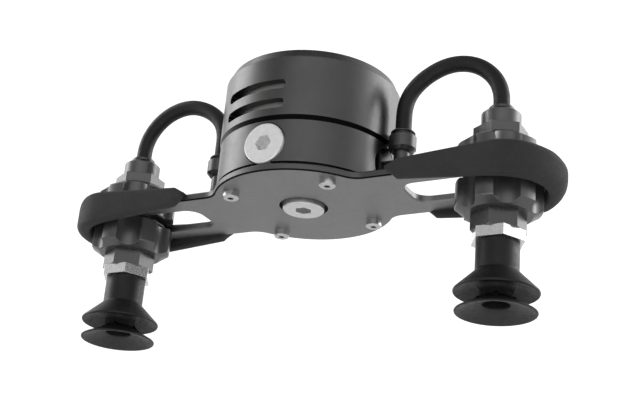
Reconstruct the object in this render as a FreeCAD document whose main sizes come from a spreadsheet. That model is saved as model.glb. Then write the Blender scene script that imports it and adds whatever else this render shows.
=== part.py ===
import FreeCAD, Part
import Sketcher
import math
import os
import re

# Two-cup vacuum gripper for a robot wrist.
# Frame: +Z up, millimetres, origin at the centre of the face that meets the robot flange.
# The bracket arms run along X, the front plug faces -Y, and the cups point down.

DOC = FreeCAD.newDocument("vacuum_gripper")
SHEET = DOC.addObject("Spreadsheet::Sheet", "sizes")

# Driving dimensions. Heights named *_rise are measured up from the underside of the bracket
# plate, and *_drop down from it.
DIMENSIONS = {
    "body_height": 70.0,        # underside of the plate to the robot flange
    "ring_radius": 47.4,
    "ring_thick": 4.8,
    "ring_taper": 1.8,          # the ring is slightly conical
    "pilot_radius": 15.75,      # ISO 9409-1-50 pilot
    "flange_circle": 25.0,
    "flange_hole": 3.3,
    "dowel_hole": 3.0,
    "housing_radius": 48.0,
    "housing_wall": 4.5,
    "housing_rise": 28.5,
    "housing_bevel": 2.6,
    "web_thick": 4.0,
    "boss_circle": 40.2,
    "boss_radius": 4.5,
    "vent_high": 46.2,          # undersides of the two cooling slots
    "vent_low": 35.3,
    "vent_tall": 5.4,
    "vent_start": -124.0,
    "vent_sweep": 42.0,
    "manifold_radius": 47.4,
    "foot_radius": 44.2,
    "foot_tall": 1.2,
    "port_rise": 15.9,
    "port_floor": 42.7,
    "pilot_tall": 0.8,          # the manifold's round boss inside the plate's hole
    "spot_radius": 11.6,
    "thread_radius": 8.3,       # G3/8
    "gallery": 4.0,
    "plug_radius": 11.05,
    "plug_thick": 3.9,
    "plug_socket": 4.62,        # across the corners of an 8 mm hexagon, halved
    "seal_thick": 1.5,
    "plate_radius": 48.2,
    "plate_thick": 4.0,
    "plate_bevel": 0.7,
    "plate_hole": 13.1,
    "arm_half": 25.3,
    "arm_fillet": 11.0,
    "slot_half": 12.3,
    "slot_end": 60.9,           # inner end of a slot, from the middle
    "slot_corner": 8.0,
    "cup_offset": 109.4,
    "screw_circle": 40.0,
    "screw_head": 4.25,
    "screw_tall": 3.6,
    "screw_shank": 2.5,
    "bumper_out": 28.9,
    "bumper_in": 23.9,
    "bumper_end": 143.6,
    "bumper_tip": 59.4,
    "tip_half": 0.9,             # half heights of the bumper, from its tips to its nose
    "root_half": 5.3,
    "nose_half": 9.2,
    "nut_radius": 21.8,
    "nut_drop": 14.6,
    "nut_flat": 16.8,
    "stack_drop": 17.5,
    "nut_rise": 18.8,
    "nut_top": 22.8,
    "flute_radius": 8.2,
    "flute_centre": 25.6,
    "stem_radius": 12.1,
    "washer_thick": 0.8,
    "slide_gap": 0.05,          # between the glide washers and the plate
    "hexagon": 14.0,            # across corners, halved, on a 24 mm spanner
    "adapter_drop": 26.2,
    "nipple_drop": 31.8,
    "neck_radius": 10.8,
    "spigot_radius": 7.4,
    "neck_drop": 46.3,
    "fold_radius": 21.2,
    "fold_drop": 56.3,
    "waist_radius": 8.2,
    "waist_drop": 60.6,
    "lip_radius": 20.2,
    "lip_drop": 67.4,
    "push_radius": 10.15,
    "push_rise": 29.0,
    "push_top": 38.7,
    "tube_radius": 4.3,
    "tube_bore": 2.6,
    "sleeve_radius": 6.5,
    "sleeve_show": 3.3,         # how far a release sleeve stands out of its fitting
    "elbow_show": 2.5,
    "fit_gap": 0.06,
    "elbow_offset": 55.5,
    "elbow_radius": 7.3,
    "elbow_leg": 4.3,
    "elbow_low": 24.2,
    "elbow_top": 33.6,
    "elbow_deep": 8.7,
    "stud_tall": 5.2,           # hexagon of the elbow's stud
    "arch_start": 46.7,         # height where the tube leaves its straight run over the elbow
    "arch_first": 22.4,         # radii of the first two of the arch's three arcs
    "arch_second": 30.9,
    "arch_first_turn": 42.5,
    "arch_second_turn": 35.2,
}

for row, (alias, value) in enumerate(DIMENSIONS.items(), start=1):
    SHEET.set(f"A{row}", alias)
    SHEET.set(f"B{row}", str(value))
    SHEET.setAlias(f"B{row}", alias)
DOC.recompute()

ORIGIN = ("0", "0", "0")
X_AXIS = FreeCAD.Vector(1, 0, 0)
Y_AXIS = FreeCAD.Vector(0, 1, 0)
Z_AXIS = FreeCAD.Vector(0, 0, 1)
LEVEL = "-body_height"
UPRIGHT = FreeCAD.Rotation(Z_AXIS, 0)
TO_RIGHT = FreeCAD.Rotation(Y_AXIS, 90)
TO_LEFT = FreeCAD.Rotation(Y_AXIS, -90)
TO_FRONT = FreeCAD.Rotation(X_AXIS, 90)
TO_REAR = FreeCAD.Rotation(X_AXIS, -90)
NODES = []


def link(formula):
    """The formula with each alias written as a reference to the sheet."""
    return re.sub(r"[a-z_]+", lambda m: f"sizes.{m[0]}" if m[0] in DIMENSIONS else m[0], formula)


def size(formula):
    """The value of a formula of aliases."""
    return float(SHEET.evalExpression(formula))


def place(item, at, turn=UPRIGHT):
    """Puts an item at three formulas, turned about its own origin."""
    item.Placement = FreeCAD.Placement(FreeCAD.Vector(*(size(part) for part in at)), turn)
    for axis, formula in zip("xyz", at):
        if formula != "0":
            item.setExpression(f"Placement.Base.{axis}", link(formula))
    return item


def primitive(kind, name, at=ORIGIN, turn=UPRIGHT, **formulas):
    """A Part primitive whose sizes are formulas."""
    item = DOC.addObject(f"Part::{kind}", name)
    for prop, formula in formulas.items():
        item.setExpression(prop, link(formula))
    return place(item, at, turn)


def rod(name, radius, tall, at=ORIGIN, turn=UPRIGHT):
    return primitive("Cylinder", name, at, turn, Radius=radius, Height=tall)


def hexagon(name, radius, tall, at=ORIGIN, turn=UPRIGHT):
    item = DOC.addObject("Part::Prism", name)
    item.Polygon = 6
    item.setExpression("Circumradius", link(radius))
    item.setExpression("Height", link(tall))
    return place(item, at, turn)


def together(name, items):
    item = DOC.addObject("Part::MultiFuse", name)
    item.Shapes = items
    item.Refine = True
    return item


def less(name, base, tools):
    item = DOC.addObject("Part::Cut", name)
    item.Base = base
    item.Tool = tools[0] if len(tools) == 1 else together(name + "_tools", tools)
    item.Refine = True
    return item


def node(item, label):
    """Marks an item as a finished sub-part, written to the file of this label."""
    item.Label = label
    NODES.append(item)
    return item


def plane(body, role):
    return next(item for item in body.Origin.OriginFeatures if item.Role == role)


def sketch_on(body, name, role):
    sketch = body.newObject("Sketcher::SketchObject", name)
    sketch.AttachmentSupport = [(plane(body, role), "")]
    sketch.MapMode = "FlatFace"
    return sketch


def dimension(sketch, kind, places, formula):
    """A sketch dimension bound to a formula."""
    index = sketch.addConstraint(Sketcher.Constraint(kind, *places, size(formula)))
    sketch.setExpression(f"Constraints[{index}]", link(formula))


def outline(sketch, corners):
    """A closed polygon whose corners are pairs of formulas."""
    points = [FreeCAD.Vector(size(across), size(up), 0) for across, up in corners]
    count = len(points)
    for index in range(count):
        sketch.addGeometry(Part.LineSegment(points[index], points[(index + 1) % count]), False)
    for index, (across, up) in enumerate(corners):
        sketch.addConstraint(Sketcher.Constraint("Coincident", index, 2, (index + 1) % count, 1))
        if across == "0":
            sketch.addConstraint(Sketcher.Constraint("PointOnObject", index, 1, -2))
        else:
            dimension(sketch, "DistanceX", (-1, 1, index, 1), across)
        if up == "0":
            sketch.addConstraint(Sketcher.Constraint("PointOnObject", index, 1, -1))
        else:
            dimension(sketch, "DistanceY", (-1, 1, index, 1), up)


def turned(name, profile, at=ORIGIN, turn=UPRIGHT):
    """A piece turned about Z, from a closed profile of (radius, height) formulas."""
    body = DOC.addObject("PartDesign::Body", name)
    sketch = sketch_on(body, name + "_profile", "XZ_Plane")
    outline(sketch, profile)
    spin = body.newObject("PartDesign::Revolution", name + "_turn")
    spin.Profile = sketch
    spin.ReferenceAxis = (sketch, ["V_Axis"])
    spin.Angle = 360
    body.Tip = spin
    return place(body, at, turn)


def stadium(sketch, left, right, radius):
    """A slot outline between two centres on the sketch's X axis."""
    low, high, wide = size(left), size(right), size(radius)
    quarter = math.pi / 2
    near = Part.Circle(FreeCAD.Vector(low, 0, 0), Z_AXIS, wide)
    far = Part.Circle(FreeCAD.Vector(high, 0, 0), Z_AXIS, wide)
    start = sketch.GeometryCount
    sketch.addGeometry(Part.ArcOfCircle(near, quarter, 3 * quarter), False)
    sketch.addGeometry(Part.ArcOfCircle(far, -quarter, quarter), False)
    for side in (-1, 1):
        ends = [FreeCAD.Vector(value, side * wide, 0) for value in (low, high)]
        sketch.addGeometry(Part.LineSegment(*ends), False)
    below, above = start + 2, start + 3
    for first, second in (((start, 2), (below, 1)), ((start + 1, 1), (below, 2)),
                          ((start, 1), (above, 1)), ((start + 1, 2), (above, 2))):
        sketch.addConstraint(Sketcher.Constraint("Tangent", *first, *second))
    dimension(sketch, "Radius", (start,), radius)
    for arc, formula in ((start, left), (start + 1, right)):
        sketch.addConstraint(Sketcher.Constraint("PointOnObject", arc, 3, -1))
        dimension(sketch, "DistanceX", (-1, 1, arc, 3), formula)


def slot_outline(sketch, way):
    """One slot of the bracket: round at the cup's end and blunt, with round corners, inside."""
    axis, end = size("cup_offset") * way, size("slot_end") * way
    wide, corner = size("slot_half"), size("slot_corner")
    inset = end + corner * way
    quarter = math.pi / 2

    def arc(x, y, radius, middle, half):
        circle = Part.Circle(FreeCAD.Vector(x, y, 0), Z_AXIS, radius)
        return sketch.addGeometry(Part.ArcOfCircle(circle, middle - half, middle + half), False)

    def side(x1, y1, x2, y2):
        ends = FreeCAD.Vector(x1, y1, 0), FreeCAD.Vector(x2, y2, 0)
        return sketch.addGeometry(Part.LineSegment(*ends), False)

    facing = 0 if way > 0 else math.pi
    far = arc(axis, 0, wide, facing, quarter)
    upper = arc(inset, wide - corner, corner, facing + math.pi - way * quarter / 2, quarter / 2)
    lower = arc(inset, corner - wide, corner, facing + math.pi + way * quarter / 2, quarter / 2)
    above = side(inset, wide, axis, wide)
    below = side(inset, -wide, axis, -wide)
    blunt = side(end, wide - corner, end, corner - wide)
    first, last = (1, 2) if way > 0 else (2, 1)
    for one, other in (((far, last), (above, 2)), ((far, first), (below, 2)),
                       ((upper, first), (above, 1)), ((upper, last), (blunt, 1)),
                       ((lower, first), (blunt, 2)), ((lower, last), (below, 1))):
        sketch.addConstraint(Sketcher.Constraint("Tangent", *one, *other))
    sketch.addConstraint(Sketcher.Constraint("PointOnObject", far, 3, -1))
    dimension(sketch, "Radius", (far,), "slot_half")
    dimension(sketch, "Radius", (upper,), "slot_corner")
    dimension(sketch, "Radius", (lower,), "slot_corner")
    sign = "" if way > 0 else "-"
    dimension(sketch, "DistanceX", (-1, 1, far, 3), f"{sign}cup_offset")
    dimension(sketch, "DistanceX", (-1, 1, blunt, 1), f"{sign}slot_end")


def on_circle(circle, angle, height="0"):
    """Formulas of a place on a circle round the main axis."""
    return (f"{circle} * cos({angle}deg)", f"{circle} * sin({angle}deg)", height)


def rods_round(name, radius, tall, circle, angles, height):
    """Upright rods that stand on a circle."""
    return [rod(f"{name}_{index}", radius, tall, on_circle(circle, angle, height))
            for index, angle in enumerate(angles)]


CORNERS = (45, 135, 225, 315)
BOSSES = (22.5, 112.5, 202.5, 292.5)
SIXTHS = (0, 60, 120, 180, 240, 300)
SIDES = (("right", "", TO_RIGHT), ("left", "-", TO_LEFT))


# ---- coupling to the robot ------------------------------------------------------------------

def coupling_ring():
    blank = turned("ring_blank", [
        ("pilot_radius", "-ring_thick"), ("ring_radius", "-ring_thick"),
        ("ring_radius - ring_taper", "-0.4"), ("ring_radius - ring_taper - 0.4", "0"),
        ("pilot_radius", "0")])
    under = "-ring_thick * 1.5"
    holes = rods_round("ring_bolt", "flange_hole", "ring_thick * 2", "flange_circle", CORNERS, under)
    holes += rods_round("ring_pass", "2.1", "ring_thick * 2", "38", SIXTHS, under)
    for index, angle in enumerate(SIXTHS):
        holes.append(primitive("Cone", f"ring_sink_{index}", on_circle("38", angle),
                               FreeCAD.Rotation(X_AXIS, 180), Radius1="4.4", Radius2="2",
                               Height="2.4"))
    holes.append(rod("ring_dowel", "dowel_hole", "ring_thick * 2", ("flange_circle", "0", under)))
    node(less("ring_cut", blank, holes), "coupling_ring")


def coupling_screws():
    screws = []
    for index, angle in enumerate(SIXTHS):
        at = on_circle("38", angle)
        head = turned(f"coupling_screw_{index}", [
            ("0", "-ring_thick - web_thick + 0.5"), ("1.9", "-ring_thick - web_thick + 0.5"),
            ("1.9", "-2.5"), ("4.0", "-0.4"), ("4.0", "-0.2"), ("0", "-0.2")], at)
        socket = hexagon(f"coupling_socket_{index}", "1.44", "1.6", (at[0], at[1], "-1.6"))
        screws.append(less(f"coupling_screw_cut_{index}", head, [socket]))
    node(together("coupling_screw_set", screws), "coupling_screws")


# ---- upper housing and what it holds ----------------------------------------------------------

def vent(name, rise):
    """The space of one cooling slot: a ring sector with round ends."""
    base = f"{LEVEL} + {rise}"
    sector = primitive("Cylinder", name + "_sector", ("0", "0", base),
                       FreeCAD.Rotation(Z_AXIS, size("vent_start")),
                       Radius="housing_radius + 2", Height="vent_tall")
    sector.setExpression("Angle", "sizes.vent_sweep * 1deg")
    ends = [sector]
    for index, angle in enumerate((size("vent_start"), size("vent_start + vent_sweep"))):
        turn = FreeCAD.Rotation(Z_AXIS, angle).multiply(TO_RIGHT)
        ends.append(rod(f"{name}_end_{index}", "vent_tall / 2", "housing_radius + 2",
                        ("0", "0", f"{base} + vent_tall / 2"), turn))
    core = rod(name + "_core", "housing_radius - housing_wall - 2", "vent_tall + 2",
               ("0", "0", f"{base} - 1"))
    return less(name, together(name + "_full", ends), [core])


def upper_housing():
    under = f"{LEVEL} + housing_rise"
    inner = "housing_radius - housing_wall"
    shell = turned("housing_shell", [
        ("0", "-ring_thick"), ("housing_radius - 0.6", "-ring_thick"),
        ("housing_radius", "-ring_thick - 0.6"), ("housing_radius", f"{under} + housing_bevel"),
        ("housing_radius - 1.1", under), (inner, under),
        (inner, "-ring_thick - web_thick"), ("0", "-ring_thick - web_thick")])
    deep = "body_height - housing_rise - ring_thick - web_thick + 1"
    bosses = rods_round("housing_boss", "boss_radius", deep, "boss_circle", BOSSES, under)
    solid = together("housing_solid", [shell] + bosses)
    tools = [vent("vent_upper", "vent_high"), vent("vent_lower", "vent_low")]
    tools += rods_round("housing_core", "1.75", "14", "boss_circle", BOSSES, under)
    tools += rods_round("housing_well", "5.6", "web_thick * 2", "flange_circle", CORNERS,
                        "-ring_thick - web_thick - 2")
    tools += rods_round("housing_tap", "1.9", "web_thick", "38", SIXTHS,
                        "-ring_thick - web_thick + 0.5")
    tools.append(rod("housing_outlet", "6.05", "20", ("0", "35", f"{LEVEL} + 45"), TO_REAR))
    node(less("housing_cut", solid, tools), "upper_housing")


def housing_gasket():
    base = f"{LEVEL} + housing_rise"
    node(turned("gasket_ring", [
        ("44.3", f"{base} - 1.2"), ("45.9", f"{base} - 1.2"), ("45.9", base), ("44.3", base)]),
        "housing_gasket")


def housing_screws():
    screws = []
    base = f"{LEVEL} + plate_thick"
    for index, angle in enumerate(BOSSES):
        at = on_circle("boss_circle", angle)
        body = turned(f"housing_screw_{index}", [
            ("0", f"{base} + 0.4"), ("3.4", f"{base} + 0.4"), ("3.4", f"{base} + 4.2"),
            ("1.75", f"{base} + 4.2"), ("1.75", f"{base} + 36"), ("0", f"{base} + 36")], at)
        socket = hexagon(f"housing_socket_{index}", "1.73", "2.4", (at[0], at[1], base))
        screws.append(less(f"housing_screw_cut_{index}", body, [socket]))
    node(together("housing_screw_set", screws), "housing_screws")


def control_board():
    base = f"{LEVEL} + 56"
    board = rod("board_disc", "34", "1.6", ("0", "0", base))
    chips = []
    for index, (x, y, wide) in enumerate(((-10, 8, 9), (12, 10, 6), (6, -14, 7), (-14, -12, 5))):
        chips.append(primitive("Box", f"board_chip_{index}", (f"{x}", f"{y}", f"{base} - 1.8"),
                               Length=f"{wide}", Width=f"{wide}", Height="2"))
    node(together("board_full", [board] + chips), "control_board")


def ejector():
    """The Venturi block, with its nozzle in one end and a felt silencer beside the vents."""
    base = f"{LEVEL} + housing_rise + 0.1"
    block = primitive("Box", "ejector_box", ("-26", "-9", base),
                      Length="40", Width="18", Height="16")
    axis = f"{base} + 8"
    bores = [rod("ejector_bore", "2.2", "60", ("-30", "0", axis), TO_RIGHT),
             rod("ejector_seat", "4.0", "12", ("-27", "0", axis), TO_RIGHT),
             rod("ejector_suction", "3.0", "9", ("0", "0", f"{base} - 1"))]
    node(less("ejector_cut", block, bores), "ejector_block")
    nozzle = turned("nozzle_blank", [
        ("0.9", "-11"), ("3.95", "-11"), ("3.95", "0"), ("2.4", "0"), ("0.9", "-7")],
        ("-15.1", "0", axis), TO_RIGHT)
    node(nozzle, "ejector_nozzle")
    pad = primitive("Cylinder", "silencer_pad", ("0", "0", f"{LEVEL} + 33"),
                    FreeCAD.Rotation(Z_AXIS, -130), Radius="41.5", Height="21")
    pad.Angle = 54
    node(less("silencer_cut", pad, [rod("silencer_core", "36.5", "23",
                                        ("0", "0", f"{LEVEL} + 32"))]), "silencer")


def supply_valve():
    """The solenoid that feeds the ejector, with its sprung plunger in the coil's bore."""
    base = f"{LEVEL} + housing_rise + 0.1"
    coil = primitive("Box", "valve_box", ("-8", "14", base), Length="16", Width="18", Height="22")
    bore = rod("valve_bore", "4.0", "17", ("0", "23", f"{base} + 6"))
    seat = rod("valve_seat", "2.0", "8", ("0", "23", f"{base} - 1"))
    node(less("valve_cut", coil, [bore, seat]), "supply_valve")
    node(turned("plunger_rod", [
        ("0", "6.2"), ("2.9", "6.2"), ("3.9", "7.4"), ("3.9", "18.6"), ("0", "18.6")],
        ("0", "23", base)), "supply_plunger")


def vacuum_sensor():
    base = f"{LEVEL} + housing_rise + 0.1"
    box = primitive("Box", "sensor_box", ("17", "-8", base), Length="14", Width="16", Height="9")
    stub = rod("sensor_stub", "2.4", "5", ("24", "0", f"{base} + 8.5"))
    node(together("sensor_full", [box, stub]), "vacuum_sensor")


def signal_connector():
    """A round M12 socket in the rear wall of the housing."""
    body = turned("connector_body", [
        ("0", "38"), ("5.95", "38"), ("5.95", "48.2"), ("8.4", "48.2"), ("8.4", "50.4"),
        ("6.6", "51"), ("6.6", "60"), ("5.2", "60"), ("5.2", "52"), ("0", "52")],
        ("0", "0", f"{LEVEL} + 45"), TO_REAR)
    pins = []
    for index, angle in enumerate(CORNERS):
        pins.append(rod(f"connector_pin_{index}", "0.5", "6",
                        (f"2.6 * cos({angle}deg)", "51.9",
                         f"{LEVEL} + 45 + 2.6 * sin({angle}deg)"), TO_REAR))
    node(together("connector_full", [body] + pins), "signal_connector")


# ---- manifold and its ports -------------------------------------------------------------------

def manifold_block():
    low = f"{LEVEL} + plate_thick"
    top = f"{LEVEL} + housing_rise"
    blank = turned("manifold_blank", [
        ("0", f"{low} - pilot_tall"), ("plate_hole - 0.1", f"{low} - pilot_tall"),
        ("plate_hole - 0.1", low), ("foot_radius", low), ("foot_radius", f"{low} + foot_tall"),
        ("manifold_radius", f"{low} + foot_tall"), ("manifold_radius", top), ("45.9", top),
        ("45.9", f"{top} - 1.2"), ("44.3", f"{top} - 1.2"), ("44.3", top), ("0", top)])
    port = ("0", "0", f"{LEVEL} + port_rise")
    tools = []
    for name, turn in (("right", TO_RIGHT), ("left", TO_LEFT), ("front", TO_FRONT),
                       ("rear", TO_REAR)):
        tools.append(turned(f"port_{name}", [
            ("0", "32"), ("thread_radius", "32"), ("thread_radius", "port_floor"),
            ("spot_radius", "port_floor"), ("spot_radius", "50"), ("0", "50")], port, turn))
    tools.append(rod("gallery_sides", "gallery", "68", ("-34", "0", port[2]), TO_RIGHT))
    tools.append(rod("gallery_front", "gallery - 0.4", "34", port, TO_FRONT))
    tools.append(rod("gallery_rear", "3", "13", ("0", "20", port[2]), TO_REAR))
    tools.append(rod("gallery_supply", "2.6", "20", ("0", "23", f"{port[2]} - 1")))
    tools.append(rod("gallery_low", "thread_radius", "18.2", ("0", "0", f"{low} - 1.8")))
    tools.append(rod("gallery_up", "gallery - 1", "20", port))
    under = f"{low} - 1"
    tools += rods_round("manifold_tap", "screw_shank", "13", "screw_circle", CORNERS, under)
    tools += rods_round("manifold_pass", "2.2", "40", "boss_circle", BOSSES, under)
    tools += rods_round("manifold_sink", "3.7", "5.2", "boss_circle", BOSSES, under)
    node(less("manifold_cut", blank, tools), "manifold_block")


def plug(name, at, turn):
    """A G3/8 screw plug with a hexagon socket, and the sealing ring under its flange."""
    body = turned(name + "_body", [
        ("0", "-8"), ("7.6", "-8"), ("thread_radius - 0.05", "-7.3"),
        ("thread_radius - 0.05", "seal_thick"), ("plug_radius", "seal_thick"),
        ("plug_radius", "seal_thick + plug_thick - 0.5"),
        ("plug_radius - 0.5", "seal_thick + plug_thick"), ("0", "seal_thick + plug_thick")],
        at, turn)
    socket = turned(name + "_bore", [
        ("0", "-0.5"), ("3.2", "-0.5"), ("3.2", "1"), ("0", "1")], at, turn)
    key = hexagon(name + "_key", "plug_socket", "6", at, turn)
    node(less(name + "_cut", body, [key, socket]), name)
    node(turned(name + "_ring", [
        ("thread_radius", "0"), ("plug_radius - 0.4", "0"), ("plug_radius - 0.4", "seal_thick"),
        ("thread_radius", "seal_thick")], at, turn), name + "_seal")


def plugs():
    plug("front_plug", ("0", "-port_floor", f"{LEVEL} + port_rise"), TO_FRONT)
    plug("bottom_plug", ("0", "0", f"{LEVEL} + plate_thick - pilot_tall"),
         FreeCAD.Rotation(X_AXIS, 180))


def rear_inlet():
    """The push-in inlet for compressed air, with its release sleeve."""
    at = ("0", "0", f"{LEVEL} + port_rise")
    hexed = hexagon("inlet_hexagon", "10.4", "6.4", ("0", "port_floor", at[2]), TO_REAR)
    body = turned("inlet_body", [
        ("2.5", "33"), ("thread_radius - 0.05", "33"), ("thread_radius - 0.05", "port_floor"),
        ("elbow_radius", "port_floor"), ("elbow_radius", "58.2"), ("elbow_radius - 0.9", "59"),
        ("2.5", "59")], at, TO_REAR)
    full = together("inlet_full", [hexed, body])
    node(less("inlet_cut", full, [fitting_bore("inlet_bore", at, TO_REAR, "59", "14")]),
         "rear_inlet")
    release_sleeve("rear_sleeve", at, TO_REAR, "59")


def fitting_bore(name, at, turn, top, deep):
    """The stepped bore of a push-in fitting: tube stop, tube bore and sleeve bore."""
    return turned(name, [
        ("0", f"{top} - {deep}"), ("tube_radius + fit_gap", f"{top} - {deep}"),
        ("tube_radius + fit_gap", f"{top} - 6"), ("sleeve_radius - 1", f"{top} - 6"),
        ("sleeve_radius - 1", f"{top} + 4"), ("0", f"{top} + 4")], at, turn)


def release_sleeve(label, at, turn, top, show="sleeve_show"):
    """The collar that is pushed in to free a tube: its skirt runs in the fitting's bore."""
    inner = "tube_radius + fit_gap"
    outer = "sleeve_radius - 1 - fit_gap"
    node(turned(label + "_ring", [
        (inner, f"{top} - 4.6"), (outer, f"{top} - 4.6"), (outer, f"{top} + 1.3"),
        ("sleeve_radius", f"{top} + 1.3"), ("sleeve_radius", f"{top} + {show} - 0.7"),
        ("sleeve_radius - 0.7", f"{top} + {show}"), (inner, f"{top} + {show}")],
        at, turn), label)


def elbow(side, sign, outward):
    """A swivel elbow from the manifold's side port to an upright push-in socket."""
    port = ("0", "0", f"{LEVEL} + port_rise")
    corner = (f"{sign}elbow_offset", "0", f"{LEVEL} + port_rise")
    thread = turned(f"{side}_stud_thread", [
        ("2.2", "33"), ("thread_radius - 0.05", "33"), ("thread_radius - 0.05", "port_floor"),
        ("2.2", "port_floor")], port, outward)
    hexed = hexagon(f"{side}_stud_hexagon", "10.4", "stud_tall",
                    (f"{sign}port_floor", "0", port[2]), outward)
    bore = rod(f"{side}_stud_bore", "2.2", "20", (f"{sign}32", "0", port[2]), outward)
    node(less(f"{side}_stud_cut", together(f"{side}_stud_full", [thread, hexed]), [bore]),
         f"{side}_elbow_stud")
    leg = rod(f"{side}_elbow_run", "elbow_leg", "elbow_offset - port_floor - stud_tall",
              (f"{sign}1 * (port_floor + stud_tall)", "0", port[2]), outward)
    knee = primitive("Sphere", f"{side}_elbow_knee", corner, Radius="elbow_leg")
    upright = turned(f"{side}_elbow_socket", [
        ("0", "port_rise"), ("elbow_leg", "port_rise"), ("elbow_leg", "elbow_low"),
        ("5.7", "elbow_low"), ("elbow_radius", "elbow_low + 1.8"),
        ("elbow_radius", "elbow_top - 0.8"), ("elbow_radius - 0.9", "elbow_top"),
        ("0", "elbow_top")], (f"{sign}elbow_offset", "0", LEVEL))
    bores = [
        rod(f"{side}_elbow_bore", "2.2", "elbow_offset - port_floor - stud_tall + 1",
            (f"{sign}1 * (port_floor + stud_tall - 1)", "0", port[2]), outward),
        rod(f"{side}_elbow_rise", "2.2", "12", corner),
        fitting_bore(f"{side}_elbow_step", (f"{sign}elbow_offset", "0", LEVEL), UPRIGHT,
                     "elbow_top", "elbow_deep")]
    full = together(f"{side}_elbow_full", [leg, knee, upright])
    node(less(f"{side}_elbow_cut", full, bores), f"{side}_elbow_body")
    release_sleeve(f"{side}_elbow_sleeve", (f"{sign}elbow_offset", "0", LEVEL), UPRIGHT,
                   "elbow_top", "elbow_show")


# ---- bracket ------------------------------------------------------------------------------------

def junctions(shape):
    """Names of the upright edges where the arms meet the disc."""
    reach = size("arm_half")
    names = []
    for index, edge in enumerate(shape.Edges, start=1):
        box = edge.BoundBox
        upright = box.XLength < 0.01 and box.YLength < 0.01
        if upright and abs(abs(box.YMin) - reach) < 0.01 and abs(box.XMin) < size("plate_radius"):
            names.append(f"Edge{index}")
    return names


def rims(shape):
    """Names of the edges round the plate and its two slots, on both faces."""
    centre = size("plate_hole")
    names = []
    for index, edge in enumerate(shape.Edges, start=1):
        box = edge.BoundBox
        if box.ZLength < 0.01 and max(abs(box.XMin), abs(box.XMax)) > centre + 1:
            names.append(f"Edge{index}")
    return names


def bracket_plate():
    """The flat bracket: a disc with two slotted arms."""
    body = DOC.addObject("PartDesign::Body", "plate")
    disc = sketch_on(body, "plate_disc", "XY_Plane")
    disc.addGeometry(Part.Circle(FreeCAD.Vector(0, 0, 0), Z_AXIS, size("plate_radius")), False)
    disc.addConstraint(Sketcher.Constraint("Coincident", 0, 3, -1, 1))
    dimension(disc, "Radius", (0,), "plate_radius")
    arms = sketch_on(body, "plate_arms", "XY_Plane")
    stadium(arms, "-cup_offset", "cup_offset", "arm_half")
    for name, sketch in (("disc_pad", disc), ("arm_pad", arms)):
        pad = body.newObject("PartDesign::Pad", name)
        pad.Profile = sketch
        pad.setExpression("Length", link("plate_thick"))
        body.Tip = pad
    DOC.recompute()
    blend = body.newObject("PartDesign::Fillet", "arm_blend")
    blend.Base = (pad, junctions(pad.Shape))
    blend.setExpression("Radius", link("arm_fillet"))
    body.Tip = blend
    holes = sketch_on(body, "plate_holes", "XY_Plane")
    slot_outline(holes, 1)
    slot_outline(holes, -1)
    round_hole = Part.Circle(FreeCAD.Vector(0, 0, 0), Z_AXIS, size("plate_hole"))
    centre = holes.addGeometry(round_hole, False)
    holes.addConstraint(Sketcher.Constraint("Coincident", centre, 3, -1, 1))
    dimension(holes, "Radius", (centre,), "plate_hole")
    pocket = body.newObject("PartDesign::Pocket", "plate_openings")
    pocket.Profile = holes
    pocket.Type = "ThroughAll"
    pocket.Reversed = True
    body.Tip = pocket
    DOC.recompute()
    bevel = body.newObject("PartDesign::Chamfer", "plate_bevels")
    bevel.Base = (pocket, rims(pocket.Shape))
    bevel.setExpression("Size", link("plate_bevel"))
    body.Tip = bevel
    spot = sketch_on(body, "plate_screw_hole", "XY_Plane")
    diagonal = "screw_circle * sqrt(0.5)"
    middle = FreeCAD.Vector(size(diagonal), size(diagonal), 0)
    spot.addGeometry(Part.Circle(middle, Z_AXIS, size("screw_shank + 0.25")), False)
    dimension(spot, "Radius", (0,), "screw_shank + 0.25")
    dimension(spot, "DistanceX", (-1, 1, 0, 3), diagonal)
    dimension(spot, "DistanceY", (-1, 1, 0, 3), diagonal)
    drill = body.newObject("PartDesign::Pocket", "plate_drill")
    drill.Profile = spot
    drill.Type = "ThroughAll"
    drill.Reversed = True
    body.Tip = drill
    DOC.recompute()
    around = body.newObject("PartDesign::PolarPattern", "plate_drills")
    around.Originals = [drill]
    around.Axis = (next(item for item in body.Origin.OriginFeatures if item.Role == "Z_Axis"), [""])
    around.Angle = 360
    around.Occurrences = 4
    body.Tip = around
    node(place(body, ("0", "0", LEVEL)), "bracket_plate")


def bracket_screws():
    screws = []
    for index, angle in enumerate(CORNERS):
        at = on_circle("screw_circle", angle, LEVEL)
        body = turned(f"bracket_screw_{index}", [
            ("0", "-screw_tall"), ("screw_head - 0.5", "-screw_tall"),
            ("screw_head", "-screw_tall + 0.5"), ("screw_head", "0"), ("screw_shank", "0"),
            ("screw_shank", "14"), ("0", "14")], at)
        socket = hexagon(f"bracket_socket_{index}", "1.73", "2.2",
                         (at[0], at[1], f"{LEVEL} - screw_tall"))
        screws.append(less(f"bracket_screw_cut_{index}", body, [socket]))
    node(together("bracket_screw_set", screws), "bracket_screws")


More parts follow.
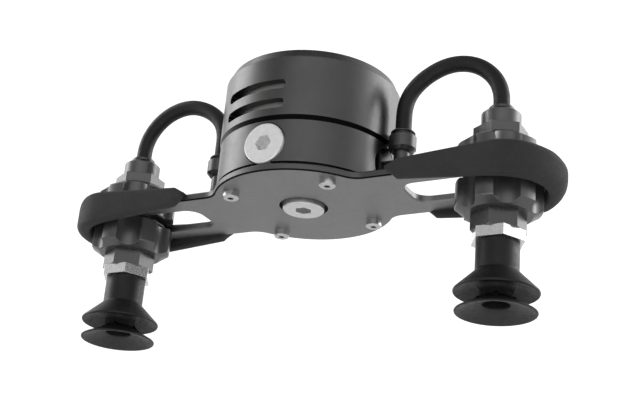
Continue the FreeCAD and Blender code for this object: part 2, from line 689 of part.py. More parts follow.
def bumper_plan(sign):
    """Plan of a bumper: two legs and a blunt round nose, cut back inside round the nuts."""
    tip, out, inner = size("bumper_tip"), size("bumper_out"), size("bumper_in")
    axis, nose = size("cup_offset"), size("bumper_end")
    shoulder = nose - 7.5
    turn = (shoulder - axis) * 0.30 + axis

    def point(x, y):
        return FreeCAD.Vector(sign * x, y, 0)

    edges = [Part.LineSegment(point(tip, -out), point(turn, -out)),
             Part.Arc(point(turn, -out), point(shoulder - 1.4, -18.5), point(nose, 0)),
             Part.Arc(point(nose, 0), point(shoulder - 1.4, 18.5), point(turn, out)),
             Part.LineSegment(point(turn, out), point(tip, out)),
             Part.LineSegment(point(tip, out), point(tip, inner)),
             Part.LineSegment(point(tip, inner), point(axis, inner)),
             Part.Arc(point(axis, inner), point(axis + inner, 0), point(axis, -inner)),
             Part.LineSegment(point(axis, -inner), point(tip, -inner)),
             Part.LineSegment(point(tip, -inner), point(tip, -out))]
    return Part.Face(Part.Wire([edge.toShape() for edge in edges]))


def bumper_side(sign):
    """Side view of a bumper: a wedge that is low at its tips and tall at its nose."""
    tip, nose, axis = size("bumper_tip"), size("bumper_end"), size("cup_offset")
    heights = ((tip, size("tip_half")), (tip + 6.1, size("root_half")),
               (axis + 6, size("nose_half")), (nose - 4, size("nose_half")),
               (nose, size("nose_half - 2.5")))
    upper = [FreeCAD.Vector(sign * x, -60, half) for x, half in heights]
    lower = [FreeCAD.Vector(sign * x, -60, -half) for x, half in reversed(heights)]
    return Part.Face(Part.makePolygon(upper + lower + upper[:1]))


def bumper(side, sign):
    """A rubber bumper pressed over the edge of one arm."""
    way = -1 if sign else 1
    middle = size(f"{LEVEL} + plate_thick / 2")
    plan = bumper_plan(way)
    plan.translate(FreeCAD.Vector(0, 0, -20))
    shape = plan.extrude(FreeCAD.Vector(0, 0, 40))
    shape = shape.common(bumper_side(way).extrude(FreeCAD.Vector(0, 120, 0)))
    thick = size("plate_thick")
    corner = FreeCAD.Vector(0 if way > 0 else -size("cup_offset"), -size("arm_half"), -thick / 2)
    arm = Part.makeBox(size("cup_offset"), 2 * size("arm_half"), thick, corner)
    end = Part.makeCylinder(size("arm_half"), thick,
                            FreeCAD.Vector(way * size("cup_offset"), 0, -thick / 2))
    shape = shape.cut(arm.fuse(end))
    item = DOC.addObject("Part::Feature", f"{side}_bumper_sleeve")
    item.Shape = shape.removeSplitter()
    item.Placement = FreeCAD.Placement(FreeCAD.Vector(0, 0, middle), UPRIGHT)
    node(item, f"{side}_bumper")


# ---- cup holders --------------------------------------------------------------------------------

def fluted(name, profile, at, low, tall):
    """A turned hand nut with six flutes down its side and a bore for the stem."""
    body = turned(name + "_blank", profile, at)
    flutes = []
    for index in range(6):
        where = (f"{at[0]} + flute_centre * cos({60 * index}deg)",
                 f"flute_centre * sin({60 * index}deg)", f"{at[2]} + {low}")
        flutes.append(rod(f"{name}_flute_{index}", "flute_radius", tall, where))
    return less(name + "_cut", body, flutes)


def holder(side, sign):
    """Stem, hand nuts, washers, push-in socket, adapter and nipple of one cup."""
    at = (f"{sign}cup_offset", "0", LEVEL)
    node(turned(f"{side}_stem_rod", [
        ("thread_radius", "-stack_drop"), ("stem_radius", "-stack_drop"), ("stem_radius", "20"),
        ("thread_radius", "20"), ("thread_radius", "12"), ("gallery", "11"), ("gallery", "-7"),
        ("thread_radius", "-8")], at), f"{side}_stem")
    upper = [("stem_radius", "plate_thick + washer_thick"),
             ("nut_radius - 0.8", "plate_thick + washer_thick"),
             ("nut_radius", "plate_thick + washer_thick + 0.8"), ("nut_radius", "nut_rise - 0.8"),
             ("nut_radius - 0.8", "nut_rise"), ("14.8", "nut_top"), ("thread_radius", "nut_top"),
             ("thread_radius", "20"), ("stem_radius", "20")]
    node(fluted(f"{side}_nut_over", upper, at, "0", "nut_top + 1"), f"{side}_upper_nut")
    lower = [("stem_radius", "-stack_drop"), ("nut_flat", "-stack_drop"),
             ("nut_radius - 0.4", "-nut_drop - 0.2"), ("nut_radius", "-nut_drop + 0.4"),
             ("nut_radius", "-washer_thick - 0.8"), ("nut_radius - 0.8", "-washer_thick"),
             ("stem_radius", "-washer_thick")]
    node(fluted(f"{side}_nut_under", lower, at, "-stack_drop - 1", "stack_drop + 1"),
         f"{side}_lower_nut")
    rings = [turned(f"{side}_washer_{index}", [
        ("stem_radius", low), ("18.5", low), ("18.5", high), ("stem_radius", high)], at)
        for index, (low, high) in enumerate((
            ("plate_thick + slide_gap", "plate_thick + washer_thick"),
            ("-washer_thick", "-slide_gap")))]
    node(together(f"{side}_washer_pair", rings), f"{side}_washers")


def socket_fitting(side, sign):
    """The push-in fitting that screws into the top of the stem."""
    at = (f"{sign}cup_offset", "0", LEVEL)
    hexed = hexagon(f"{side}_socket_hexagon", "hexagon", "push_rise - nut_top",
                    (at[0], "0", f"{LEVEL} + nut_top"), FreeCAD.Rotation(Z_AXIS, 30))
    body = turned(f"{side}_socket_body", [
        ("0", "13"), ("thread_radius - 0.05", "13"), ("thread_radius - 0.05", "nut_top"),
        ("push_radius", "nut_top"), ("push_radius", "push_top - 1.4"),
        ("push_radius - 1.6", "push_top"), ("0", "push_top")], at)
    bore = rod(f"{side}_socket_flow", "2.5", "40", (at[0], "0", f"{LEVEL} + 10"))
    step = fitting_bore(f"{side}_socket_step", at, UPRIGHT, "push_top", "13")
    full = together(f"{side}_socket_full", [hexed, body])
    node(less(f"{side}_socket_cut", full, [bore, step]), f"{side}_push_socket")
    release_sleeve(f"{side}_push_sleeve", at, UPRIGHT, "push_top")


def cup_mount(side, sign):
    """The dark hexagon adapter, the bright nipple screwed into it, and the nipple's screen."""
    at = (f"{sign}cup_offset", "0", LEVEL)
    hexed = hexagon(f"{side}_adapter_hexagon", "hexagon", "adapter_drop - stack_drop",
                    (at[0], "0", f"{LEVEL} - adapter_drop"), FreeCAD.Rotation(Z_AXIS, 30))
    thread = rod(f"{side}_adapter_thread", "thread_radius - 0.05", "9",
                 (at[0], "0", f"{LEVEL} - stack_drop"))
    bore = turned(f"{side}_adapter_bore", [
        ("0", "-adapter_drop - 1"), ("6.5", "-adapter_drop - 1"), ("6.5", "-stack_drop - 1"),
        ("3", "-stack_drop - 1"), ("3", "0"), ("0", "0")], at)
    node(less(f"{side}_adapter_cut", together(f"{side}_adapter_full", [hexed, thread]), [bore]),
         f"{side}_adapter")
    nut = hexagon(f"{side}_nipple_hexagon", "hexagon", "nipple_drop - adapter_drop",
                  (at[0], "0", f"{LEVEL} - nipple_drop"))
    shank = turned(f"{side}_nipple_shank", [
        ("0", "-neck_drop + 1"), ("spigot_radius - 0.8", "-neck_drop + 1"),
        ("spigot_radius", "-neck_drop + 3"), ("spigot_radius", "-nipple_drop"),
        ("6.45", "-nipple_drop"), ("6.45", "-stack_drop - 2"), ("0", "-stack_drop - 2")], at)
    flow = turned(f"{side}_nipple_bore", [
        ("0", "-neck_drop"), ("5", "-neck_drop"), ("5", "-neck_drop + 4"), ("2.5", "-neck_drop + 4"),
        ("2.5", "-stack_drop"), ("0", "-stack_drop")], at)
    node(less(f"{side}_nipple_cut", together(f"{side}_nipple_full", [nut, shank]), [flow]),
         f"{side}_nipple")
    node(turned(f"{side}_screen_disc", [
        ("1.2", "-neck_drop + 3"), ("4.97", "-neck_drop + 3"), ("4.97", "-neck_drop + 4"),
        ("1.2", "-neck_drop + 4")], at), f"{side}_screen")


def cup(side, sign):
    """The rubber cup, in three solids: neck, folding wall and sealing lip."""
    at = (f"{sign}cup_offset", "0", LEVEL)
    node(turned(f"{side}_neck_ring", [
        ("spigot_radius", "-neck_drop"), ("neck_radius", "-neck_drop"),
        ("neck_radius", "-nipple_drop"), ("spigot_radius", "-nipple_drop")], at),
        f"{side}_cup_neck")
    node(turned(f"{side}_fold_wall", [
        ("spigot_radius", "-neck_drop"), ("neck_radius", "-neck_drop"),
        ("fold_radius - 1", "-fold_drop + 1.4"), ("fold_radius", "-fold_drop + 0.4"),
        ("fold_radius - 0.6", "-fold_drop - 0.4"), ("waist_radius + 1.4", "-52.8"),
        ("waist_radius", "-54.2"), ("waist_radius", "-waist_drop + 0.2"),
        ("waist_radius - 1.8", "-waist_drop + 0.2"), ("waist_radius - 1.8", "-52.6"),
        ("spigot_radius", "-50")], at), f"{side}_cup_fold")
    node(turned(f"{side}_lip_disc", [
        ("waist_radius - 1.6", "-waist_drop"), ("waist_radius + 0.4", "-waist_drop"),
        ("lip_radius - 0.8", "-lip_drop + 1.2"), ("lip_radius", "-lip_drop + 0.4"),
        ("lip_radius - 0.4", "-lip_drop"), ("lip_radius - 1.6", "-lip_drop"),
        ("11", "-lip_drop + 2.6"), ("waist_radius - 1.6", "-lip_drop + 4.2")], at),
        f"{side}_cup_lip")


# ---- air tubes ----------------------------------------------------------------------------------

def arch_turns():
    """Radius and turn, in radians, of each arc of the arch; the last ends over the cup."""
    first, second = (math.radians(size(f"arch_{which}_turn")) for which in ("first", "second"))
    near, middle = size("arch_first"), size("arch_second")
    across = near * (1 - math.cos(first)) + middle * (math.cos(first) - math.cos(first + second))
    last = (size("cup_offset - elbow_offset") - across) / (1 + math.cos(first + second))
    return ((near, first), (middle, second), (last, math.pi - first - second))


def arch_route():
    """The centre line of the right-hand tube, in the XZ plane, as edges in a row."""
    level = size(LEVEL)
    foot = FreeCAD.Vector(size("elbow_offset"), 0, level + size("elbow_top") - size("elbow_deep") + 0.4)
    here = FreeCAD.Vector(foot.x, 0, level + size("arch_start"))
    edges = [Part.LineSegment(foot, here)]
    heading = math.pi / 2
    for radius, turn in arch_turns():
        centre = here + FreeCAD.Vector(math.sin(heading), 0, -math.cos(heading)) * radius
        spots = []
        for angle in (heading - turn / 2, heading - turn):
            spots.append(centre - FreeCAD.Vector(math.sin(angle), 0, -math.cos(angle)) * radius)
        edges.append(Part.Arc(here, *spots))
        here = spots[1]
        heading -= turn
    seat = FreeCAD.Vector(here.x, 0, level + size("push_top") - 12.4)
    edges.append(Part.LineSegment(here, seat))
    return edges


def air_tube(side, sign):
    """One tube over its arch, as a hollow pipe."""
    spine = Part.Wire([edge.toShape() for edge in arch_route()])
    start = spine.Edges[0].Vertexes[0].Point
    pipes = []
    for radius in (size("tube_radius"), size("tube_bore")):
        ring = Part.Wire([Part.makeCircle(radius, start, Z_AXIS)])
        pipes.append(spine.makePipeShell([ring], True, False))
    shape = pipes[0].cut(pipes[1])
    section = math.pi * (size("tube_radius") ** 2 - size("tube_bore") ** 2)
    if abs(shape.Volume / (section * spine.Length) - 1) > 0.01:
        raise ValueError("the tube's volume is not its section times its length")
    if sign:
        shape = shape.mirror(FreeCAD.Vector(0, 0, 0), X_AXIS)
    item = DOC.addObject("Part::Feature", f"{side}_tube_pipe")
    item.Shape = shape
    item.Placement = FreeCAD.Placement()
    node(item, f"{side}_tube")
    print(f"{side} tube: {spine.Length:.1f} mm on its centre line, ends at x {spine.BoundBox.XMax:.2f}")


def build():
    coupling_ring()
    coupling_screws()
    upper_housing()
    housing_gasket()
    housing_screws()
    control_board()
    ejector()
    supply_valve()
    vacuum_sensor()
    signal_connector()
    manifold_block()
    plugs()
    rear_inlet()
    bracket_plate()
    bracket_screws()
    for side, sign, outward in SIDES:
        elbow(side, sign, outward)
        bumper(side, sign)
        holder(side, sign)
        socket_fitting(side, sign)
        cup_mount(side, sign)
        cup(side, sign)
        air_tube(side, sign)
    DOC.recompute()


def check():
    """Stops before anything is written if an object failed or a sub-part is no solid."""
    for item in DOC.Objects:
        if "Invalid" in item.State or "Error" in item.State:
            raise ValueError(f"{item.Name} failed: {item.State}")
    for item in NODES:
        if item.Shape.isNull() or not item.Shape.isValid() or not item.Shape.Solids:
            raise ValueError(f"{item.Label} has no valid solid")


build()
check()
os.makedirs("parts", exist_ok=True)
for item in NODES:
    item.Shape.exportStep(f"parts/{item.Label}.step")
print(len(NODES), "sub-parts written")
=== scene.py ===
import math

import bmesh
import bpy
import numpy as np
from mathutils import Matrix, Vector


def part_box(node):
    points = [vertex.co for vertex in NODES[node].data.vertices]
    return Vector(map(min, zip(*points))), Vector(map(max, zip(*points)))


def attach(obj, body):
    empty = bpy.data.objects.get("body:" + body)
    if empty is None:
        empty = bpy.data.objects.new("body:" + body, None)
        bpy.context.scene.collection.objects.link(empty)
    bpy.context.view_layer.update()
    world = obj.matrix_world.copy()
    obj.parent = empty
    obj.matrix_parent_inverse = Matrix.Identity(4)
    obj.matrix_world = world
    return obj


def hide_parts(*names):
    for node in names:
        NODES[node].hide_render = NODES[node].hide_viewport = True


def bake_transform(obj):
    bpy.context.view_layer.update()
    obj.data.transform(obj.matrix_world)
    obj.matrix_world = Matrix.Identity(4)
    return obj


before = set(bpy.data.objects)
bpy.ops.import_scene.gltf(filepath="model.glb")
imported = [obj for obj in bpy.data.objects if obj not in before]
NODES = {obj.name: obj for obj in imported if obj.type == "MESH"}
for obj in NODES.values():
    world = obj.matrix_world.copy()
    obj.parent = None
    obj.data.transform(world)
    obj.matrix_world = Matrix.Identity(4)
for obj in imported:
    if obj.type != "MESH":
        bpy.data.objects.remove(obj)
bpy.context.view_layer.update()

# Two-cup vacuum gripper. Metres, +Z up; the bracket arms run along X and the front plug faces -Y.
MM = 0.001
SIDES = {"right": 1, "left": -1}


# ---- reference heights and places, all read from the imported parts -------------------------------

def low(node):
    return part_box(node)[0]


def high(node):
    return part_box(node)[1]


def middle(node):
    return (low(node) + high(node)) / 2


PLATE_UNDER = low("bracket_plate").z
PLATE_OVER = high("bracket_plate").z
PLATE_MIDDLE = (PLATE_UNDER + PLATE_OVER) / 2
CUP_X = middle("right_stem").x
BUMPER_TIP = low("right_bumper").x
BUMPER_NOSE = high("right_bumper").x
BUMPER_HALF = (high("right_bumper").z - low("right_bumper").z) / 2


# ---- camera, studio and lights ------------------------------------------------------------------

VIEW_AZIMUTH = math.radians(28.75)
VIEW_ELEVATION = math.radians(-22.66)
VIEW_ROLL = math.radians(5.06)
VIEW_TARGET = Vector((0.00737, 0.0, -0.06682))
VIEW_DISTANCE = 0.6781
LENS = 72.63
SENSOR_WIDTH = 36
NEAREST_SEEN = 0.01


def bearing_vector(azimuth, elevation):
    """Unit vector from the object towards a bearing, in radians. Azimuth 0 is in front, at -Y."""
    return Vector((math.sin(azimuth) * math.cos(elevation),
                   -math.cos(azimuth) * math.cos(elevation),
                   math.sin(elevation)))


def make_camera():
    """The camera stands low in front, to the right, and looks up."""
    back = bearing_vector(VIEW_AZIMUTH, VIEW_ELEVATION)
    right = (-back).cross(Vector((0, 0, 1))).normalized()
    up = right.cross(-back)
    across = right * math.cos(VIEW_ROLL) + up * math.sin(VIEW_ROLL)
    upright = up * math.cos(VIEW_ROLL) - right * math.sin(VIEW_ROLL)
    camera = bpy.data.objects.new("camera", bpy.data.cameras.new("camera"))
    camera.data.lens = LENS
    camera.data.sensor_width = SENSOR_WIDTH
    camera.data.clip_start = NEAREST_SEEN
    turn = Matrix((across, upright, back)).transposed().to_4x4()
    camera.matrix_world = Matrix.Translation(VIEW_TARGET + back * VIEW_DISTANCE) @ turn
    bpy.context.scene.collection.objects.link(camera)
    bpy.context.scene.camera = camera


# Name, azimuth and elevation in degrees, distance, width and height in metres, power in watts.
SOFTBOXES = [("left", -78, 30, 1.6, 0.8, 1.4, 8),
             ("right", 128, 30, 1.7, 0.8, 1.4, 8),
             ("under", 20, -50, 1.6, 1.6, 1.2, 6)]


def softbox(name, azimuth, elevation, distance, width, height, power):
    """A soft area light at a bearing round the object, facing it and hidden from the camera."""
    back = bearing_vector(math.radians(azimuth), math.radians(elevation))
    light = bpy.data.lights.new(name, "AREA")
    light.shape = "RECTANGLE"
    light.size = width
    light.size_y = height
    light.energy = power
    lamp = bpy.data.objects.new(name, light)
    lamp.location = VIEW_TARGET + back * distance
    lamp.rotation_mode = "QUATERNION"
    lamp.rotation_quaternion = back.to_track_quat("Z", "Y")
    lamp.visible_camera = False
    bpy.context.scene.collection.objects.link(lamp)


# Brightness of the surround by bearing in degrees: 0 is in front, 90 is on the right.
SURROUND = [(-90, 2.3), (-70, 2.1), (-54, 1.0), (-42, 0.55), (-20, 0.40), (-6, 0.85), (14, 1.1),
            (50, 0.9), (74, 0.6), (92, 0.9), (112, 2.6), (150, 2.6), (180, 1.3), (215, 1.15),
            (240, 1.3), (270, 2.3)]
SURROUND_BLUE = 1.01
# It dims overhead, between these values of the Z of the direction looked in.
FADE_START = 0.50
FADE_END = 0.80
OVERHEAD_STRENGTH = 0.30


def make_sky():
    """A studio surround: bright at both sides, dim overhead and in front on the left."""
    world = bpy.data.worlds.new("studio")
    world.use_nodes = True
    bpy.context.scene.world = world
    tree = world.node_tree
    place = tree.nodes.new("ShaderNodeTexCoord")
    around = tree.nodes.new("ShaderNodeTexGradient")
    around.gradient_type = "RADIAL"
    tree.links.new(place.outputs["Generated"], around.inputs["Vector"])
    shade = tree.nodes.new("ShaderNodeValToRGB")
    ramp = shade.color_ramp
    ramp.interpolation = "EASE"
    for _ in SURROUND[2:]:
        ramp.elements.new(0.5)
    for element, (bearing, bright) in zip(ramp.elements, SURROUND):
        element.position = bearing / 360 + 0.25
        element.color = (bright, bright, bright * SURROUND_BLUE, 1)
    tree.links.new(around.outputs["Fac"], shade.inputs["Fac"])
    tree.links.new(shade.outputs["Color"], tree.nodes["Background"].inputs["Color"])
    parts = tree.nodes.new("ShaderNodeSeparateXYZ")
    tree.links.new(place.outputs["Generated"], parts.inputs["Vector"])
    height = tree.nodes.new("ShaderNodeMapRange")
    height.interpolation_type = "SMOOTHSTEP"
    for socket, value in (("From Min", FADE_START), ("From Max", FADE_END), ("To Min", 1.0),
                          ("To Max", OVERHEAD_STRENGTH)):
        height.inputs[socket].default_value = value
    tree.links.new(parts.outputs["Z"], height.inputs["Value"])
    tree.links.new(height.outputs["Result"], tree.nodes["Background"].inputs["Strength"])


FLOOR_RADIUS = 9
FLOOR_LEVEL = -1.35


def make_floor():
    """A plain pale floor, well below the hanging gripper."""
    mesh = bpy.data.meshes.new("floor")
    made = bmesh.new()
    bmesh.ops.create_circle(made, cap_ends=True, segments=96, radius=FLOOR_RADIUS)
    made.to_mesh(mesh)
    made.free()
    floor = bpy.data.objects.new("floor", mesh)
    floor.location.z = FLOOR_LEVEL
    paint = Finish("pale_floor", {"Roughness": 0.9})
    paint.colour(paint.grain(0.4, detail=3), grey(0.90), grey(0.92))
    mesh.materials.append(paint.material)
    bpy.context.scene.collection.objects.link(floor)


# ---- procedural finishes ------------------------------------------------------------------------

def grey(shown, warmth=0.0):
    """Scene-linear colour of a grey as it is seen on a screen, from 0 to 1."""
    linear = ((shown + 0.055) / 1.055) ** 2.4
    return (linear * (1 + warmth), linear, linear * (1 - warmth), 1)


class Finish:
    """A procedural material: its Principled shader and the textures that feed it."""

    def __init__(self, name, sockets):
        self.material = bpy.data.materials.new(name)
        self.material.use_nodes = True
        self.tree = self.material.node_tree
        self.shader = self.tree.nodes["Principled BSDF"]
        self.place = self.add("ShaderNodeTexCoord").outputs["Object"]
        self.normal = None
        for socket, value in sockets.items():
            self.shader.inputs[socket].default_value = value

    def add(self, kind, **settings):
        made = self.tree.nodes.new(kind)
        for key, value in settings.items():
            setattr(made, key, value)
        return made

    def link(self, start, end):
        self.tree.links.new(start, end)

    def grain(self, size, detail=2.0, stretch=(1, 1, 1), rough=0.5, place=None):
        """Cloudy noise whose features are about size metres across."""
        scaled = self.add("ShaderNodeMapping", vector_type="POINT")
        scaled.inputs["Scale"].default_value = stretch
        self.link(place or self.place, scaled.inputs["Vector"])
        noise = self.add("ShaderNodeTexNoise")
        noise.inputs["Scale"].default_value = 1 / size
        noise.inputs["Detail"].default_value = detail
        noise.inputs["Roughness"].default_value = rough
        self.link(scaled.outputs["Vector"], noise.inputs["Vector"])
        return noise.outputs["Fac"]

    def rings(self, centre, axis, pitch):
        """Turning marks: noise that depends only on the distance from an axis."""
        flat = tuple(0 if letter == axis else 1 for letter in "xyz")
        away = self.add("ShaderNodeVectorMath", operation="SUBTRACT")
        away.inputs[1].default_value = centre
        self.link(self.place, away.inputs[0])
        plane = self.add("ShaderNodeVectorMath", operation="MULTIPLY")
        plane.inputs[1].default_value = flat
        self.link(away.outputs["Vector"], plane.inputs[0])
        span = self.add("ShaderNodeVectorMath", operation="LENGTH")
        self.link(plane.outputs["Vector"], span.inputs[0])
        noise = self.add("ShaderNodeTexNoise", noise_dimensions="1D")
        noise.inputs["Scale"].default_value = 1 / pitch
        noise.inputs["Detail"].default_value = 2
        self.link(span.outputs["Value"], noise.inputs["W"])
        return noise.outputs["Fac"]

    def remap(self, source, start, end, floor=0.35, ceiling=0.65):
        """The source's usual range, floor to ceiling, spread from start to end."""
        spread = self.add("ShaderNodeMapRange")
        for socket, value in (("From Min", floor), ("From Max", ceiling),
                              ("To Min", start), ("To Max", end)):
            spread.inputs[socket].default_value = value
        self.link(source, spread.inputs["Value"])
        return spread.outputs["Result"]

    def blend(self, factor, first, second):
        """Mixes two colours, each a plain colour or another node's output."""
        mix = self.add("ShaderNodeMix", data_type="RGBA")
        for socket, value in ((mix.inputs[6], first), (mix.inputs[7], second)):
            if isinstance(value, tuple):
                socket.default_value = value
            else:
                self.link(value, socket)
        self.link(factor, mix.inputs[0])
        return mix.outputs[2]

    def colour(self, source, first, second):
        shade = self.blend(self.remap(source, 0, 1), first, second)
        self.link(shade, self.shader.inputs["Base Color"])
        return shade

    def roughness(self, source, start, end):
        self.link(self.remap(source, start, end), self.shader.inputs["Roughness"])

    def bump(self, source, depth, strength=1.0):
        """Adds relief of about depth metres to what is there already."""
        relief = self.add("ShaderNodeBump")
        relief.inputs["Strength"].default_value = strength
        relief.inputs["Distance"].default_value = depth
        self.link(source, relief.inputs["Height"])
        if self.normal:
            self.link(self.normal, relief.inputs["Normal"])
        self.normal = relief.outputs["Normal"]
        self.link(self.normal, self.shader.inputs["Normal"])

    def soft_edges(self, radius):
        """Rounds the look of every sharp edge by a small radius."""
        bevel = self.add("ShaderNodeBevel", samples=4)
        bevel.inputs["Radius"].default_value = radius
        self.normal = bevel.outputs["Normal"]
        self.link(self.normal, self.shader.inputs["Normal"])
        return bevel.outputs["Normal"]

    def paint_shade_by_slope(self, shade, dark, low_z, high_z, clear=0.0):
        """Paints shade on faces whose normals' Z lies between two values, in the grey dark.

        Faces nearer the middle plane than clear keep their own colour.
        """
        geometry = self.add("ShaderNodeNewGeometry")
        normal = self.add("ShaderNodeSeparateXYZ")
        self.link(geometry.outputs["True Normal"], normal.inputs["Vector"])
        painted_band_test = self.add("ShaderNodeMath", operation="COMPARE")
        painted_band_test.inputs[1].default_value = (low_z + high_z) / 2
        painted_band_test.inputs[2].default_value = (high_z - low_z) / 2
        self.link(normal.outputs["Z"], painted_band_test.inputs[0])
        spot = self.add("ShaderNodeSeparateXYZ")
        self.link(self.place, spot.inputs["Vector"])
        aside = self.add("ShaderNodeMath", operation="ABSOLUTE")
        self.link(spot.outputs["Y"], aside.inputs[0])
        beyond = self.add("ShaderNodeMath", operation="GREATER_THAN")
        beyond.inputs[1].default_value = clear
        self.link(aside.outputs["Value"], beyond.inputs[0])
        both = self.add("ShaderNodeMath", operation="MULTIPLY")
        self.link(painted_band_test.outputs["Value"], both.inputs[0])
        self.link(beyond.outputs["Value"], both.inputs[1])
        # Faces in the band take painted shade, the grey dark, in place of their own colour.
        return self.blend(both.outputs["Value"], shade, grey(dark))

    def wear(self, rounded, shade, worn, amount):
        """Lets the worn colour through along the edges, in broken patches."""
        geometry = self.add("ShaderNodeNewGeometry")
        turn = self.add("ShaderNodeVectorMath", operation="DOT_PRODUCT")
        self.link(rounded, turn.inputs[0])
        self.link(geometry.outputs["Normal"], turn.inputs[1])
        edge = self.remap(turn.outputs["Value"], amount, 0, 0.78, 0.995)
        patchy = self.add("ShaderNodeMath", operation="MULTIPLY")
        self.link(edge, patchy.inputs[0])
        self.link(self.remap(self.grain(2.5 * MM, 4), 0.1, 1.0), patchy.inputs[1])
        mixed = self.blend(patchy.outputs["Value"], shade, worn)
        self.link(mixed, self.shader.inputs["Base Color"])


def anodised(name, dark, light, worn, rough, edge=0.35 * MM, marks=True, blast=0.16 * MM,
             painted_shade_slopes=(), metal=1.0):
    """Anodised or coated metal: fine blasted grain, faint turning marks, rubbed edges, and painted
    shade on the sloped faces given.
    """
    finish = Finish(name, {"Metallic": metal})
    rounded = finish.soft_edges(edge)
    cloud = finish.grain(16 * MM, 3)
    shade = finish.colour(cloud, grey(dark), grey(light))
    # Each listed band of slopes gets painted shade over the colour.
    for painted_shade_band in painted_shade_slopes:
        shade = finish.paint_shade_by_slope(shade, *painted_shade_band)
    finish.wear(rounded, shade, grey(worn), 0.3)
    finish.roughness(finish.grain(2.2 * MM, 3), rough - 0.03, rough + 0.03)
    finish.bump(finish.grain(blast, 1), 0.003 * MM, 0.4)
    if marks:
        finish.bump(finish.grain(0.5 * MM, 2, stretch=(0.02, 0.02, 1)), 0.002 * MM, 0.4)
    return finish.material


def polished(name, shade, rough, centre=None, axis="z", metal=1.0):
    """Bright turned or plated steel, with fine rings where it was faced on a lathe."""
    finish = Finish(name, {"Metallic": metal})
    finish.soft_edges(0.25 * MM)
    finish.colour(finish.grain(3 * MM, 4), grey(shade - 0.03), grey(shade))
    finish.roughness(finish.grain(1.2 * MM, 3), rough - 0.03, rough + 0.05)
    if centre:
        finish.bump(finish.rings(centre, axis, 0.30 * MM), 0.0012 * MM, 0.35)
    else:
        finish.bump(finish.grain(0.2 * MM, 2, stretch=(1, 1, 0.15)), 0.001 * MM, 0.4)
    return finish.material


def rubber(name, dark, light, rough, stipple, depth, specular=0.4, sheen=0.0):
    """Moulded rubber: fine stipple, a little bloom, and a soft sheen."""
    finish = Finish(name, {"Metallic": 0.0, "IOR": 1.5, "Sheen Weight": sheen,
                           "Sheen Roughness": 0.5, "Specular IOR Level": specular})
    bloom = finish.grain(14 * MM, 5, rough=0.6)
    finish.colour(bloom, grey(dark), grey(light))
    finish.roughness(finish.grain(2.2 * MM, 4), rough - 0.06, rough + 0.07)
    finish.bump(finish.grain(stipple, 2, rough=0.6), depth, 0.8)
    return finish.material


def plastic(name, colour_low, colour_high, rough, grain=0.3 * MM):
    """Moulded plastic or board: even colour with a fine eroded grain."""
    finish = Finish(name, {"Metallic": 0.0, "IOR": 1.48})
    finish.colour(finish.grain(8 * MM, 4), colour_low, colour_high)
    finish.roughness(finish.grain(1.5 * MM, 3), rough - 0.06, rough + 0.08)
    finish.bump(finish.grain(grain, 2), 0.01 * MM, 0.5)
    return finish.material


# Painted shade on the chamfers under a rim: its grey, and the lowest and highest Z of the normals
# that take it.
RIM_PAINTED_SHADE = [(0.06, -0.6, -0.2)]
# The same painted shade for the plate's edge wall and its lower bevel, beyond a distance from the
# middle plane.
PLATE_CLEAR = 14 * MM
PLATE_PAINTED_SHADE = [(0.36, -0.5, 0.5, PLATE_CLEAR), (0.08, -0.85, -0.5, PLATE_CLEAR)]


def make_finishes():
    """Every finish by its name, with the places of the turned faces taken from the parts."""
    front, bottom = middle("front_plug"), middle("bottom_plug")
    return {
        # The housing's chamfers and the plate's edge wall and lower bevel take painted shade.
        "housing": anodised("housing_anodised_painted_shade", 0.335, 0.35, 0.55, 0.34, painted_shade_slopes=RIM_PAINTED_SHADE),
        "plate": anodised("plate_blasted_painted_shade", 0.50, 0.515, 0.60, 0.42, marks=False,
                          painted_shade_slopes=PLATE_PAINTED_SHADE),
        "nut": anodised("nut_anodised", 0.36, 0.375, 0.55, 0.32, metal=0.8),
        "fitting": anodised("fitting_coated", 0.31, 0.325, 0.50, 0.30, metal=0.8),
        "stud": anodised("stud_burnished", 0.20, 0.22, 0.40, 0.34),
        "front_face": polished("front_plug_faced", 0.90, 0.34, tuple(front), "y", 0.4),
        "bottom_face": polished("bottom_plug_faced", 0.83, 0.34, tuple(bottom), "z", 0.8),
        "steel": polished("plated_steel", 0.78, 0.30),
        "nickel": polished("nickel_plated", 0.92, 0.24),
        "brass": anodised("turned_brass", 0.66, 0.72, 0.85, 0.28),
        "bumper": rubber("bumper_rubber", 0.185, 0.20, 0.78, 0.35 * MM, 0.02 * MM, 0.2, 0.04),
        "cup": rubber("cup_rubber", 0.07, 0.085, 0.46, 0.25 * MM, 0.008 * MM, 0.3),
        "seal": rubber("seal_rubber", 0.08, 0.10, 0.55, 0.3 * MM, 0.01 * MM),
        "tube": rubber("tube_polyurethane", 0.065, 0.08, 0.5, 0.6 * MM, 0.004 * MM, 0.3),
        "plastic": plastic("moulded_plastic", grey(0.16), grey(0.19), 0.48),
        "felt": plastic("sintered_felt", grey(0.60, 0.03), grey(0.66, 0.04), 0.85, 0.5 * MM),
        "board": plastic("solder_mask", (0.010, 0.075, 0.035, 1), (0.014, 0.1, 0.045, 1), 0.35),
    }


# ---- small mesh tools ---------------------------------------------------------------------------

def new_piece(name, mesh, finish, body, slot, *replaced):
    """A finished mesh becomes a piece of the object on its CAD body."""
    piece = bpy.data.objects.new(name, mesh)
    bpy.context.scene.collection.objects.link(piece)
    mesh.materials.append(finish)
    for face in mesh.polygons:
        face.use_smooth = True
    if body:
        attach(piece, body)
    if replaced:
        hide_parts(*replaced)
    return piece


